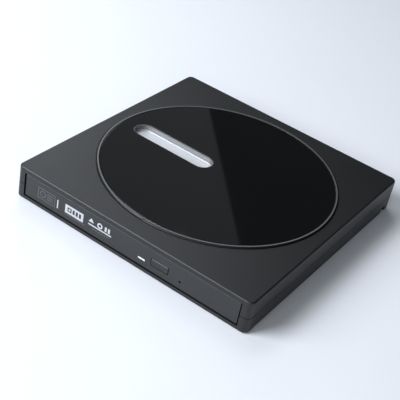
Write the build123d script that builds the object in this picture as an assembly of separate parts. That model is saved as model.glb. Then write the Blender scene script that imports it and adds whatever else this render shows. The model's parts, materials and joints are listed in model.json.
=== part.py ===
from build123d import *
import os

# External optical drive: a slim tray-loading disc drive in a two-part case, with its USB bridge board.
# Frame: +X to the right seen from the front, +Y to the rear, +Z up. The origin is at the bottom centre,
# on the plane that the rubber feet stand on. All sizes are in millimetres.

os.makedirs("parts", exist_ok=True)

# ---- case ----
CASE_WIDTH = 140.0
CASE_DEPTH = 145.0
COVERS_HEIGHT = 18.0
FOOT_PROUD = 0.5
SPLIT_ABOVE_UNDERSIDE = 8.7
WALL = 2.0
REAR_WALL = 1.8
FRAME_THICKNESS = 3.2
FLOOR_THICKNESS = 1.4
CORNER_RADIUS = 3.0
TOP_EDGE_RADIUS = 0.9
BOTTOM_EDGE_RADIUS = 0.6
SEAM_GAP = 0.3
SEAM_DEPTH = 0.4

HALF_WIDTH = CASE_WIDTH / 2
FRONT = -CASE_DEPTH / 2
REAR = CASE_DEPTH / 2
UNDERSIDE = FOOT_PROUD
TOP = UNDERSIDE + COVERS_HEIGHT
SPLIT = UNDERSIDE + SPLIT_ABOVE_UNDERSIDE
FLOOR_TOP = UNDERSIDE + FLOOR_THICKNESS
CEILING = 15.6
CAVITY_HALF = HALF_WIDTH - WALL
CAVITY_FRONT = FRONT + FRAME_THICKNESS
CAVITY_REAR = REAR - REAR_WALL

# front opening that the bezel fills
OPENING_HALF = 65.0
OPENING_LOW = 2.6
OPENING_HIGH = 15.8

# gloss disc inside a raised rim of the top cover, with a metal-lined window at its left
DISC_Y = 1.4
DISC_RADIUS = 61.4
DISC_GAP = 0.15
DISC_EDGE_RADIUS = 0.15
RIM_OUTER = 63.2
RIM_TOP = TOP + 0.9
RIM_OUTER_EDGE = 0.75
RIM_INNER_EDGE = 0.25
RIM_GROOVE_WIDTH = 0.4
RIM_GROOVE_DEPTH = 0.3
DISC_TOP = RIM_TOP - 0.12
DISC_SEAT = TOP - 1.0
WINDOW_X = -29.8
WINDOW_LENGTH = 50.4
WINDOW_WIDTH = 12.4
WINDOW_GAP = 0.08
WINDOW_WALL = 0.5
WINDOW_WALL_TOP = DISC_TOP - 0.4
WINDOW_CORE_MARGIN = 1.1
WINDOW_CORE_RISE = 0.2
WINDOW_FLANGE = 2.0
WINDOW_PLATE_THICKNESS = 0.45

# feet, case screws and their bosses
SCREW_SPOTS = [(66.0, -67.0), (-66.0, -67.0), (62.5, 65.0), (-62.5, 65.0)]
FOOT_RADIUS = 3.4
FOOT_RECESS = 0.4
BOSS_RADIUS = 1.8
PILOT_RADIUS = 0.92
SCREW_RADIUS = 0.9
SCREW_HEAD_RADIUS = 1.6
SCREW_HEAD_HEIGHT = 0.6
SCREW_TIP = 9.0

# edge notch near the rear of both sides
NOTCH_FRONT = 61.5
NOTCH_REAR = 66.9
NOTCH_HEIGHT = 3.3
NOTCH_DEPTH = 1.9

# ---- slim drive: 12.7 mm high, 128 mm wide ----
DRIVE_HALF = 64.0
DRIVE_BOTTOM = 2.3
DRIVE_TOP = DRIVE_BOTTOM + 12.7
DRIVE_FRONT = -68.6
DRIVE_REAR = 57.0
SHEET = 0.5
SIDE_SHEET = 0.6
BASE_WALL_TOP = 9.0
LID_SKIRT_LOW = 9.05
REAR_PORT_HALF = 24.5

# tray
TRAY_HALF = 62.9
TRAY_FRONT = -69.5
TRAY_REAR = 55.4
DECK_LOW = 10.0
DECK_TOP = 13.2
SPINDLE_X = 0.0
SPINDLE_Y = -6.5
RECESS_RADIUS = 60.5
RECESS_FLOOR = 11.4
INNER_RECESS_RADIUS = 56.0
INNER_RECESS_FLOOR = 11.1
HUB_HOLE_RADIUS = 16.5
SLOT_HALF = 9.5
SLOT_END = 61.6
SKIRT_INNER = 57.6
SKIRT_OUTER = 61.1
SKIRT_LOW = 3.6
GROOVE_FLOOR = 58.8
GROOVE_LOW = 4.2
GROOVE_HIGH = 8.8
FRONT_WALL_REAR = -68.1
RIB_X = (51.0, 52.4)
RIB_FRONT = -44.0
MECHANISM_REAR = 22.0
COVER_LOW = 3.5
COVER_HIGH = 3.9
TRAY_BOSSES = [(-53.0, -62.0), (-52.0, 18.0), (46.0, 18.0), (14.0, -50.0)]
TRAY_BOSS_RADIUS = 1.8

# telescoping rails
RAIL_OUTER_X = 63.3
RAIL_WEB_X = 62.9
RAIL_FLANGE_X = 61.3
RAIL_LOW = 3.8
RAIL_HIGH = 9.2
RAIL_SHEET = 0.4
SLIDE_OUTER_X = 62.7
SLIDE_INNER_X = 59.0
SLIDE_LOW = 4.35
SLIDE_HIGH = 8.65

# bezel and what sits in it
BEZEL_FRONT = FRONT + 0.4
BEZEL_HALF = 64.3
BEZEL_LOW = 3.15
BEZEL_HIGH = 15.25
BUTTON_X = 19.6
BUTTON_Z = 8.45
BUTTON_WIDTH = 9.9
BUTTON_HEIGHT = 3.7
BUTTON_GAP = 0.12
BUTTON_WIDE_GAP = 0.45
LIGHT_X = 9.3
LIGHT_Z = 7.0
LIGHT_WIDTH = 4.0
LIGHT_HEIGHT = 0.9
PIN_HOLE_X = 31.8
PIN_HOLE_Z = 7.0
PIN_HOLE_RADIUS = 0.6

# tray board
BOARD_LOW = 5.6
BOARD_TOP = 6.4
BOARD_FRONT = -66.5
BOARD_REAR = -58.0
BOARD_X = (2.0, 29.0)

# latch
POST = (54.5, -62.0)
POST_RADIUS = 1.2
LATCH_PIVOT = (49.0, -50.0)
LATCH_LOW = 4.6
LATCH_HIGH = 5.8
LATCH_PIN_RADIUS = 0.9
LATCH_CLEARANCE = 0.05

# traverse: the deck and the pickup's way, in a frame turned about the spindle axis.
# Along this frame's x is the way the pickup moves outwards, its y is across.
TRAVERSE_ANGLE = 225.0
PLATE_LOW = 5.2
PLATE_TOP = 6.2
PLATE_BACK = -20.0
PLATE_FRONT = 56.5
PLATE_HALF = 23.0
DAMPER_SPOTS = [(-16.0, 19.0), (-17.0, -12.0), (53.4, 20.3), (53.4, -20.3)]
DAMPER_RADIUS = 2.2
DAMPER_TOP = 8.2
DECK_BOSS_RADIUS = 2.6
DECK_SCREW_RADIUS = 1.15
DECK_HOLE_RADIUS = 1.25
SHAFT_OFFSET = 15.5
SHAFT_RADIUS = 1.5
SHAFT_Z = 7.8
SHAFT_START = -4.0
SHAFT_END = 55.0
HOLDER_LENGTH = 3.0
LENS_START = 23.5
SLED_LOW = 6.5
SLED_TOP = 9.6
SLED_HALF = 12.0
LEAD_SCREW_OFFSET = -20.2
LEAD_SCREW_Z = 7.0
LEAD_SCREW_RADIUS = 1.2
LEAD_SCREW_END = 46.0
SLED_MOTOR_RADIUS = 2.9
SLED_MOTOR_BACK = -17.0
SLED_MOTOR_FRONT = -4.3

# spindle
TABLE_LOW = 10.4
TABLE_TOP = 11.8
TABLE_RADIUS = 14.5
CUP_OUTER = 13.0
CUP_INNER = 12.2
CUP_LOW = 7.3
HUB_RADIUS = 7.4
HUB_TOP = 13.9
SPINDLE_SHAFT_RADIUS = 1.0
BEARING_CLEARANCE = 0.02
CLAW_COUNT = 3
CLAW_LENGTH = 3.0
CLAW_WIDTH = 2.4
CLAW_LOW = 12.3
CLAW_HIGH = 13.5
CLAW_PROUD = 0.35
CLAW_GAP = 0.1

# bridge board behind the drive
BRIDGE_HALF = 50.0
BRIDGE_FRONT = 58.9
BRIDGE_REAR = 70.4
BRIDGE_LOW = 3.4
BRIDGE_TOP = 4.4
BRIDGE_SCREWS = [(46.0, 66.0), (-46.0, 66.0)]
USB_X = 16.0
USB_WIDTH = 7.7
USB_HEIGHT = 3.9
USB_SHELL = 0.3
POWER_X = -17.0
POWER_BORE = 1.75
POWER_PIN = 0.65
CONNECTOR_HALF = 23.0


# ---- plain shapes ----
def block(x0, x1, y0, y1, z0, z1):
    """Box between two corners."""
    return Pos((x0 + x1) / 2, (y0 + y1) / 2, (z0 + z1) / 2) * Box(x1 - x0, y1 - y0, z1 - z0)


def post(x, y, radius, z0, z1):
    """Upright cylinder."""
    return Pos(x, y, (z0 + z1) / 2) * Cylinder(radius, z1 - z0)


def ring(x, y, outer, inner, z0, z1):
    """Upright tube."""
    return post(x, y, outer, z0, z1) - post(x, y, inner, z0 - 1, z1 + 1)


def bar_x(x0, x1, y, z, radius):
    """Cylinder lying along X."""
    return Pos((x0 + x1) / 2, y, z) * Rot(0, 90, 0) * Cylinder(radius, x1 - x0)


def bar_y(x, y0, y1, z, radius):
    """Cylinder lying along Y."""
    return Pos(x, (y0 + y1) / 2, z) * Rot(90, 0, 0) * Cylinder(radius, y1 - y0)


def stadium(x, y, length, width, z0, z1):
    """Upright slot shape with round ends, long along X."""
    outline = SlotOverall(length, width)
    return Pos(x, y, z0) * extrude(outline, z1 - z0)


def rounded_plate(x0, x1, y0, y1, z0, z1, radius):
    """Plate with rounded upright corners."""
    outline = RectangleRounded(x1 - x0, y1 - y0, radius)
    return Pos((x0 + x1) / 2, (y0 + y1) / 2, z0) * extrude(outline, z1 - z0)


def rounded_front(x, z, width, height, radius, y0, y1):
    """Block along Y whose outline in the X-Z plane has rounded corners."""
    outline = RectangleRounded(width, height, radius)
    return Pos(x, y1, z) * Rot(90, 0, 0) * extrude(outline, y1 - y0)


def coil(radius, wire, pitch, turns):
    """Coil spring that stands on the origin along Z, with its wire inside 0 and turns * pitch."""
    path = Helix(pitch, pitch * turns, radius)
    section = Plane(origin=path @ 0, z_dir=path % 0) * Circle(wire)
    return sweep(section, path=path)


def mirrored(shape):
    """The same shape on the other side of the drive."""
    return mirror(shape, about=Plane.YZ)


def both_sides(shape):
    """A shape on the right with its mirror image on the left."""
    return shape + mirrored(shape)


def on_traverse(shape):
    """Turn a shape from the pickup's own frame into the drive's frame."""
    return Location((SPINDLE_X, SPINDLE_Y, 0), (0, 0, TRAVERSE_ANGLE)) * shape


# ---- case ----
def top_cover():
    body = rounded_plate(-HALF_WIDTH, HALF_WIDTH, FRONT, REAR, SPLIT, TOP, CORNER_RADIUS)
    body = fillet(body.edges().group_by(Axis.Z)[-1], TOP_EDGE_RADIUS)
    body -= block(-CAVITY_HALF, CAVITY_HALF, CAVITY_FRONT, CAVITY_REAR, SPLIT - 1, CEILING)
    body -= block(-OPENING_HALF, OPENING_HALF, FRONT - 1, CAVITY_FRONT + 0.5, SPLIT - 1, CEILING)
    body -= block(-OPENING_HALF, OPENING_HALF, FRONT - 1, CAVITY_FRONT, SPLIT - 1, OPENING_HIGH)
    body -= ring(0, DISC_Y, RIM_OUTER + RIM_GROOVE_WIDTH, RIM_OUTER - 1, TOP - RIM_GROOVE_DEPTH, TOP + 1)
    body += disc_rim()
    body -= post(0, DISC_Y, DISC_RADIUS + DISC_GAP, DISC_SEAT, RIM_TOP + 1)
    body -= window_slot(0, CEILING - 1, TOP)
    for x, y in SCREW_SPOTS:
        body += post(x, y, BOSS_RADIUS, FLOOR_TOP + 0.5, CEILING + 0.1)
        body -= post(x, y, PILOT_RADIUS, 0, SCREW_TIP + 1)
    return body


def disc_rim():
    """Raised bead of the cover round the disc."""
    inner = DISC_RADIUS + DISC_GAP
    bead = ring(0, DISC_Y, RIM_OUTER, inner, DISC_SEAT, RIM_TOP)
    upper = bead.edges().group_by(Axis.Z)[-1].sort_by(SortBy.RADIUS)
    bead = fillet(upper[-1], RIM_OUTER_EDGE)
    upper = bead.edges().group_by(Axis.Z)[-1].sort_by(SortBy.RADIUS)
    return fillet(upper[0], RIM_INNER_EDGE)


def window_slot(margin, z0, z1):
    """Slot shape of the window, wider than its opening by the margin all round."""
    return stadium(WINDOW_X, DISC_Y, WINDOW_LENGTH + 2 * margin, WINDOW_WIDTH + 2 * margin, z0, z1)


def gloss_disc():
    body = post(0, DISC_Y, DISC_RADIUS, DISC_SEAT, DISC_TOP)
    body = fillet(body.edges().group_by(Axis.Z)[-1], DISC_EDGE_RADIUS)
    return body - window_slot(0, CEILING, DISC_TOP + 1)


def window_plate():
    """Brushed pan: a flange under the cover, a wall up through the disc, and a flat raised floor."""
    pan = window_slot(WINDOW_FLANGE, CEILING - WINDOW_PLATE_THICKNESS, CEILING)
    pan += window_slot(-WINDOW_GAP, CEILING, WINDOW_WALL_TOP)
    pan -= window_slot(-WINDOW_GAP - WINDOW_WALL, CEILING, WINDOW_WALL_TOP + 1)
    core = window_slot(-WINDOW_CORE_MARGIN, CEILING - 0.1, CEILING + WINDOW_CORE_RISE)
    core = chamfer(core.edges().group_by(Axis.Z)[-1], 0.12)
    return pan + core


def bottom_cover():
    body = rounded_plate(-HALF_WIDTH, HALF_WIDTH, FRONT, REAR, UNDERSIDE, SPLIT, CORNER_RADIUS)
    body = fillet(body.edges().group_by(Axis.Z)[0], BOTTOM_EDGE_RADIUS)
    body -= seam_gap()
    body -= block(-CAVITY_HALF, CAVITY_HALF, CAVITY_FRONT, CAVITY_REAR, FLOOR_TOP, SPLIT + 1)
    body -= block(-OPENING_HALF, OPENING_HALF, FRONT - 1, CAVITY_FRONT + 0.1, OPENING_LOW, SPLIT + 1)
    body += drive_seats()
    for x, y in BRIDGE_SCREWS:
        body += post(x, y, 1.8, FLOOR_TOP - 0.1, BRIDGE_LOW)
        body -= post(x, y, 0.8, FLOOR_TOP, BRIDGE_LOW + 1)
    for x, y in SCREW_SPOTS:
        body -= post(x, y, FOOT_RADIUS + 0.1, UNDERSIDE - 1, UNDERSIDE + FOOT_RECESS)
        body += post(x, y, BOSS_RADIUS + 0.1, FLOOR_TOP - 0.4, FLOOR_TOP + 0.4)
        body -= post(x, y, SCREW_HEAD_RADIUS + 0.1, UNDERSIDE, UNDERSIDE + FOOT_RECESS + SCREW_HEAD_HEIGHT)
        body -= post(x, y, SCREW_RADIUS + 0.1, UNDERSIDE, FLOOR_TOP + 1)
    body -= both_sides(block(HALF_WIDTH - NOTCH_DEPTH, HALF_WIDTH + 1, NOTCH_FRONT, NOTCH_REAR,
                             UNDERSIDE - 1, UNDERSIDE + NOTCH_HEIGHT))
    body -= socket_cutouts()
    return body


def seam_gap():
    """Narrow rebate round the upper rim, which shows as the line between the covers."""
    low, high = SPLIT - SEAM_GAP, SPLIT
    outer = block(-HALF_WIDTH - 1, HALF_WIDTH + 1, FRONT - 1, REAR + 1, low, high + 1)
    inner = rounded_plate(-HALF_WIDTH + SEAM_DEPTH, HALF_WIDTH - SEAM_DEPTH, FRONT + SEAM_DEPTH,
                          REAR - SEAM_DEPTH, low - 1, high + 2, CORNER_RADIUS - SEAM_DEPTH)
    return outer - inner


def drive_seats():
    """Pads under the drive, ribs beside it, stops behind it and the thick wall round each notch."""
    right = block(52, 62, -60, -50, FLOOR_TOP - 0.1, DRIVE_BOTTOM)
    right += block(52, 62, 42, 52, FLOOR_TOP - 0.1, DRIVE_BOTTOM)
    for y in (-45.0, -5.0, 35.0):
        right += block(DRIVE_HALF + 0.2, CAVITY_HALF + 0.1, y, y + 2, FLOOR_TOP - 0.1, 8)
    right += block(54, 57, DRIVE_REAR + 0.1, DRIVE_REAR + 1.6, FLOOR_TOP - 0.1, 8)
    right += block(HALF_WIDTH - NOTCH_DEPTH - 1.2, CAVITY_HALF + 0.1, NOTCH_FRONT - 1.2, NOTCH_REAR + 1.2,
                   FLOOR_TOP - 0.1, UNDERSIDE + NOTCH_HEIGHT + 1.2)
    return both_sides(right)


def socket_cutouts():
    usb = rounded_front(USB_X, BRIDGE_TOP + USB_HEIGHT / 2, USB_WIDTH + 0.6, USB_HEIGHT + 0.6, 0.6,
                        CAVITY_REAR - 0.5, REAR + 1)
    power = bar_y(POWER_X, CAVITY_REAR - 0.5, REAR + 1, BRIDGE_TOP + 2.3, 2.7)
    return usb + power


def rubber_feet():
    feet = Part()
    for x, y in SCREW_SPOTS:
        foot = post(x, y, FOOT_RADIUS, 0, UNDERSIDE + FOOT_RECESS)
        foot = chamfer(foot.edges().group_by(Axis.Z)[0], 0.2)
        feet += foot
    return feet


def case_screws():
    screws = Part()
    seat = UNDERSIDE + FOOT_RECESS
    for x, y in SCREW_SPOTS:
        head = post(x, y, SCREW_HEAD_RADIUS, seat, seat + SCREW_HEAD_HEIGHT)
        head -= block(x - 1, x + 1, y - 0.2, y + 0.2, seat - 1, seat + 0.3)
        head -= block(x - 0.2, x + 0.2, y - 1, y + 1, seat - 1, seat + 0.3)
        screws += head + post(x, y, SCREW_RADIUS, seat + SCREW_HEAD_HEIGHT - 0.1, SCREW_TIP)
    return screws


# ---- bridge board ----
def bridge_board():
    body = block(-BRIDGE_HALF, BRIDGE_HALF, BRIDGE_FRONT, BRIDGE_REAR, BRIDGE_LOW, BRIDGE_TOP)
    for x, y in BRIDGE_SCREWS:
        body -= post(x, y, 1.0, BRIDGE_LOW - 1, BRIDGE_TOP + 1)
    return body


def bridge_chips():
    z = BRIDGE_TOP
    chips = block(-4, 4, 63.2, 69.2, z, z + 1.2)
    chips += block(26, 31, 63.5, 67.5, z, z + 1.0)
    chips += block(-33, -26, 63.5, 66.5, z, z + 1.4)
    chips += block(35, 41, 67, 69.2, z, z + 2.2)
    chips += post(-38.5, 66, 2.0, z, z + 3.6)
    for index in range(6):
        x = 6.2 + 0.9 * index
        chips += block(x, x + 0.5, 64, 65, z, z + 0.5)
    return chips


def bridge_screws():
    screws = Part()
    for x, y in BRIDGE_SCREWS:
        head = post(x, y, 1.5, BRIDGE_TOP, BRIDGE_TOP + 0.7)
        head -= block(x - 0.9, x + 0.9, y - 0.15, y + 0.15, BRIDGE_TOP + 0.4, BRIDGE_TOP + 1)
        head -= block(x - 0.15, x + 0.15, y - 0.9, y + 0.9, BRIDGE_TOP + 0.4, BRIDGE_TOP + 1)
        screws += head + post(x, y, 0.78, FLOOR_TOP + 0.1, BRIDGE_TOP + 0.1)
    return screws


def bridge_connector():
    """Board half of the drive's connector, with the row of contact slots in its front."""
    body = block(-CONNECTOR_HALF, CONNECTOR_HALF, 58.4, 62.4, BRIDGE_TOP, BRIDGE_TOP + 4.2)
    for index in range(25):
        x = -19.2 + 1.6 * index
        body -= block(x - 0.3, x + 0.3, 61.6, 63, BRIDGE_TOP + 0.8, BRIDGE_TOP + 3.4)
    return body


def usb_socket():
    z0 = BRIDGE_TOP
    x0, x1 = USB_X - USB_WIDTH / 2, USB_X + USB_WIDTH / 2
    shell = rounded_front(USB_X, z0 + USB_HEIGHT / 2, USB_WIDTH, USB_HEIGHT, 0.5, 62.8, REAR - 0.6)
    cavity = block(x0 + USB_SHELL, x1 - USB_SHELL, 64.5, REAR, z0 + USB_SHELL, z0 + USB_HEIGHT - USB_SHELL)
    tongue = block(USB_X - 2.4, USB_X + 2.4, 64, REAR - 1.6, z0 + 1.5, z0 + 2.4)
    return shell - cavity + tongue


def power_socket():
    z0 = BRIDGE_TOP
    body = block(POWER_X - 3, POWER_X + 3, 62.8, CAVITY_REAR - 0.1, z0, z0 + 4.6)
    body -= bar_y(POWER_X, 64.0, REAR, z0 + 2.3, POWER_BORE)
    return body + bar_y(POWER_X, 63.8, CAVITY_REAR - 0.6, z0 + 2.3, POWER_PIN)


# ---- drive case ----
def drive_base():
    body = block(-DRIVE_HALF, DRIVE_HALF, DRIVE_FRONT, DRIVE_REAR, DRIVE_BOTTOM, BASE_WALL_TOP)
    inner = DRIVE_HALF - SIDE_SHEET
    body -= block(-inner, inner, DRIVE_FRONT - 1, DRIVE_REAR - SIDE_SHEET,
                  DRIVE_BOTTOM + SHEET, BASE_WALL_TOP + 1)
    body -= block(-REAR_PORT_HALF, REAR_PORT_HALF, DRIVE_REAR - 1, DRIVE_REAR + 1, 4.0, BASE_WALL_TOP + 1)
    for y in (-40.0, -10.0, 20.0):
        body -= stadium(0, y, 60, 3, DRIVE_BOTTOM + 0.35, DRIVE_BOTTOM + SHEET + 1)
    return body


def drive_lid():
    body = block(-DRIVE_HALF, DRIVE_HALF, DRIVE_FRONT, DRIVE_REAR, LID_SKIRT_LOW, DRIVE_TOP)
    inner = DRIVE_HALF - SIDE_SHEET
    body -= block(-inner, inner, DRIVE_FRONT - 1, DRIVE_REAR - SIDE_SHEET,
                  LID_SKIRT_LOW - 1, DRIVE_TOP - SHEET)
    body -= ring(0, SPINDLE_Y, 52, 50, DRIVE_TOP - 0.15, DRIVE_TOP + 1)
    return body


def outer_rails():
    """Steel channels that open inwards, one at each side of the drive."""
    channel = block(RAIL_FLANGE_X, RAIL_OUTER_X, DRIVE_FRONT + 2, TRAY_REAR, RAIL_LOW, RAIL_HIGH)
    channel -= block(RAIL_FLANGE_X - 1, RAIL_WEB_X, DRIVE_FRONT + 1, TRAY_REAR + 1,
                     RAIL_LOW + RAIL_SHEET, RAIL_HIGH - RAIL_SHEET)
    return both_sides(channel)


def slide_rail():
    """H-section slide between the outer rail and the tray, on the right."""
    flange_out = block(SLIDE_OUTER_X - 0.4, SLIDE_OUTER_X, -66, 50, SLIDE_LOW, SLIDE_HIGH)
    flange_in = block(SLIDE_INNER_X, SLIDE_INNER_X + 0.4, -66, 50, SLIDE_LOW, SLIDE_HIGH)
    web = block(SLIDE_INNER_X, SLIDE_OUTER_X, -66, 50, 6.2, 6.8)
    return flange_out + flange_in + web


def main_board():
    body = block(-52.5, 52.0, 27.0, 55.8, 3.6, BRIDGE_TOP)
    for x in (-48.0, 48.0):
        for y in (30.0, 52.5):
            body += post(x, y, 1.5, DRIVE_BOTTOM + SHEET, 3.7)
    return body


def main_chips():
    z = BRIDGE_TOP
    chips = block(-8, 8, 34, 50, z, z + 1.4)
    chips += block(16, 26, 38, 44, z, z + 1.2)
    chips += block(-30, -18, 36, 43, z, z + 1.0)
    chips += block(34, 40, 34, 40, z, z + 1.6)
    chips += block(-12, 12, 28, 31, z, z + 1.6)
    for index in range(8):
        x = -44 + 3.0 * index
        chips += block(x, x + 1.6, 46, 47, z, z + 0.7)
    return chips


def drive_connector():
    body = block(-CONNECTOR_HALF, CONNECTOR_HALF, 52.0, 58.4, BRIDGE_TOP, BRIDGE_TOP + 4.2)
    return body - block(-CONNECTOR_HALF + 1.5, CONNECTOR_HALF - 1.5, 51, 53,
                        BRIDGE_TOP + 1, BRIDGE_TOP + 3.2)


def latch_post():
    body = post(POST[0], POST[1], POST_RADIUS, DRIVE_BOTTOM + SHEET, 7.5)
    return chamfer(body.edges().group_by(Axis.Z)[-1], 0.3)


def eject_pusher():
    """Head that bears on the tray's tab, with the rod that the push-out spring sits on."""
    head = block(-56.8, -54.2, 40.2, 43.2, 5, 8)
    return head + bar_y(-55.5, 43.1, 55.6, 6.5, 0.7)


def eject_spring():
    spring = coil(1.1, 0.15, 0.85, 14)
    return Pos(-55.5, 43.45, 6.5) * Rot(-90, 0, 0) * spring


def flex_cable():
    """Flat ribbon from the main board forward along the floor, folded back under the tray."""
    half = 7.0
    low = block(-half, half, -39, 26.6, 2.85, 2.97)
    up = block(-half, half, -39, 16, 3.33, 3.45)
    fold = bar_x(-half, half, -39, 3.15, 0.3) - bar_x(-half - 1, half + 1, -39, 3.15, 0.18)
    fold -= block(-half - 1, half + 1, -39, -38, 2, 5)
    riser = block(-half, half, 26.48, 26.6, 2.85, 5.0)
    tail = block(-half, half, 26.5, 28.0, 4.88, 5.0)
    return low + up + fold + riser + tail


# ---- tray ----
def tray():
    body = rounded_plate(-TRAY_HALF, TRAY_HALF, TRAY_FRONT, TRAY_REAR, DECK_LOW, DECK_TOP, 2)
    body -= post(SPINDLE_X, SPINDLE_Y, RECESS_RADIUS, RECESS_FLOOR, DECK_TOP + 1)
    body -= post(SPINDLE_X, SPINDLE_Y, INNER_RECESS_RADIUS, INNER_RECESS_FLOOR, DECK_TOP + 1)
    body += both_sides(tray_skirt())
    body += block(-SKIRT_INNER, SKIRT_INNER, TRAY_FRONT, FRONT_WALL_REAR, SKIRT_LOW, DECK_LOW + 0.1)
    body += block(RIB_X[0], RIB_X[1], RIB_FRONT, MECHANISM_REAR, COVER_HIGH, DECK_LOW + 0.1)
    body += block(-57, -54, 38, 40.1, 5, DECK_LOW + 0.1)
    body -= block(5, 35, TRAY_FRONT - 1, FRONT_WALL_REAR + 0.1, 4.4, DECK_LOW)
    body -= block(13, 26.5, TRAY_FRONT - 1, TRAY_FRONT + 0.9, DECK_LOW - 0.1, 11.4)
    for x, y in TRAY_BOSSES:
        body += post(x, y, TRAY_BOSS_RADIUS, COVER_HIGH, DECK_LOW + 0.1)
        body -= post(x, y, 0.82, COVER_HIGH - 1, COVER_HIGH + 4)
    for x in (4.0, 27.0):
        body += post(x, -60, 1.2, BOARD_TOP, DECK_LOW + 0.1)
    body -= on_traverse(pickup_slot())
    for x, y in DAMPER_SPOTS:
        body += on_traverse(post(x, y, DECK_BOSS_RADIUS, DAMPER_TOP, DECK_LOW + 0.1))
        body -= on_traverse(post(x, y, 1.2, DAMPER_TOP - 1, DECK_LOW - 0.1))
    return body


def tray_skirt():
    """Right side of the tray below its deck, with the groove that the slide rail runs in."""
    skirt = block(SKIRT_INNER, SKIRT_OUTER, TRAY_FRONT, TRAY_REAR, SKIRT_LOW, DECK_LOW + 0.1)
    return skirt - block(GROOVE_FLOOR, SKIRT_OUTER + 1, TRAY_FRONT + 1.5, TRAY_REAR + 1,
                         GROOVE_LOW, GROOVE_HIGH)


def pickup_slot():
    """Round hole for the turntable and the slot that the pickup looks through."""
    slot = block(0, SLOT_END, -SLOT_HALF, SLOT_HALF, DECK_LOW - 1, DECK_TOP + 1)
    corners = slot.edges().filter_by(Axis.Z).group_by(Axis.X)[-1]
    return fillet(corners, 3) + post(0, 0, HUB_HOLE_RADIUS, DECK_LOW - 1, DECK_TOP + 1)


def bezel():
    middle = (BEZEL_LOW + BEZEL_HIGH) / 2
    body = rounded_front(0, middle, 2 * BEZEL_HALF, BEZEL_HIGH - BEZEL_LOW, 0.5, BEZEL_FRONT, TRAY_FRONT)
    body = chamfer(body.edges().group_by(Axis.Y)[0], 0.1)
    shift = (BUTTON_WIDE_GAP - BUTTON_GAP) / 2
    both_gaps = BUTTON_WIDE_GAP + BUTTON_GAP
    body -= rounded_front(BUTTON_X + shift, BUTTON_Z + shift, BUTTON_WIDTH + both_gaps,
                          BUTTON_HEIGHT + both_gaps, 0.75, BEZEL_FRONT - 1, TRAY_FRONT + 1)
    body -= block(LIGHT_X - LIGHT_WIDTH / 2, LIGHT_X + LIGHT_WIDTH / 2, BEZEL_FRONT - 1, TRAY_FRONT + 1,
                  LIGHT_Z - LIGHT_HEIGHT / 2, LIGHT_Z + LIGHT_HEIGHT / 2)
    body -= bar_y(PIN_HOLE_X, BEZEL_FRONT - 1, TRAY_FRONT + 1, PIN_HOLE_Z, PIN_HOLE_RADIUS)
    return body


def light_pipe():
    return block(LIGHT_X - LIGHT_WIDTH / 2, LIGHT_X + LIGHT_WIDTH / 2,
                 BEZEL_FRONT + 0.05, BOARD_FRONT - 0.1,
                 LIGHT_Z - LIGHT_HEIGHT / 2, LIGHT_Z + LIGHT_HEIGHT / 2)


def eject_button():
    cap = rounded_front(BUTTON_X, BUTTON_Z, BUTTON_WIDTH, BUTTON_HEIGHT, 0.6, BEZEL_FRONT + 0.05,
                        TRAY_FRONT + 0.1)
    cap = chamfer(cap.edges().group_by(Axis.Y)[0], 0.2)
    flange = block(BUTTON_X - 5.8, BUTTON_X + 5.8, TRAY_FRONT + 0.05, TRAY_FRONT + 0.55, 6.0, 9.9)
    stem = block(BUTTON_X - 1.2, BUTTON_X + 1.2, TRAY_FRONT + 0.5, -67.95, 7.4, 9.6)
    return cap + flange + stem


def tray_board():
    return block(BOARD_X[0], BOARD_X[1], BOARD_FRONT, BOARD_REAR, BOARD_LOW, BOARD_TOP)


def eject_switch():
    body = block(BUTTON_X - 2.5, BUTTON_X + 2.5, -66.8, -63.0, BOARD_TOP, 9.7)
    return body + bar_y(BUTTON_X, -67.35, -66.7, 8.5, 0.9)


def status_led():
    return block(LIGHT_X - 1.2, LIGHT_X + 1.2, -66.2, -65.0, BOARD_TOP, BOARD_TOP + 1.1)


def tray_cover():
    body = block(-60.5, RIB_X[1], -66.0, MECHANISM_REAR, COVER_LOW, COVER_HIGH)
    body -= block(-61, -57.4, -67, MECHANISM_REAR + 1, SKIRT_LOW - 0.02, COVER_HIGH + 1)
    for x, y in TRAY_BOSSES:
        body -= post(x, y, 0.9, COVER_LOW - 1, COVER_HIGH + 1)
    return body


def tray_screws():
    """Small screws of the tray's cover and of its traverse deck."""
    screws = Part()
    for x, y in TRAY_BOSSES:
        screws += post(x, y, 1.4, COVER_LOW - 0.35, COVER_LOW)
        screws += post(x, y, 0.8, COVER_LOW - 0.1, COVER_HIGH + 3.5)
    for x, y in DAMPER_SPOTS:
        screw = post(x, y, 2.0, PLATE_LOW - 0.8, PLATE_LOW)
        screw += post(x, y, DECK_SCREW_RADIUS, PLATE_LOW - 0.1, DECK_LOW - 0.4)
        screws += on_traverse(screw)
    return screws


# ---- traverse deck and spindle motor ----
def traverse_deck():
    body = rounded_plate(PLATE_BACK, PLATE_FRONT, -PLATE_HALF, PLATE_HALF, PLATE_LOW, PLATE_TOP, 3)
    body -= block(SLED_MOTOR_BACK - 1.5, 1, -PLATE_HALF - 1, -16.9, PLATE_LOW - 1, PLATE_TOP + 1)
    body -= block(0, LEAD_SCREW_END, -PLATE_HALF - 1, -18.4, PLATE_LOW - 1, PLATE_TOP + 1)
    body -= stadium(34, 0, 24, 16, PLATE_LOW - 1, PLATE_TOP + 1)
    body -= post(0, 0, 1.5, PLATE_LOW - 1, PLATE_TOP + 1)
    for x, y in DAMPER_SPOTS:
        body -= post(x, y, DECK_HOLE_RADIUS, PLATE_LOW - 1, PLATE_TOP + 1)
    return on_traverse(body)


def deck_dampers():
    dampers = Part()
    for x, y in DAMPER_SPOTS:
        dampers += on_traverse(ring(x, y, DAMPER_RADIUS, DECK_HOLE_RADIUS, PLATE_TOP, DAMPER_TOP))
    return dampers


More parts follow.
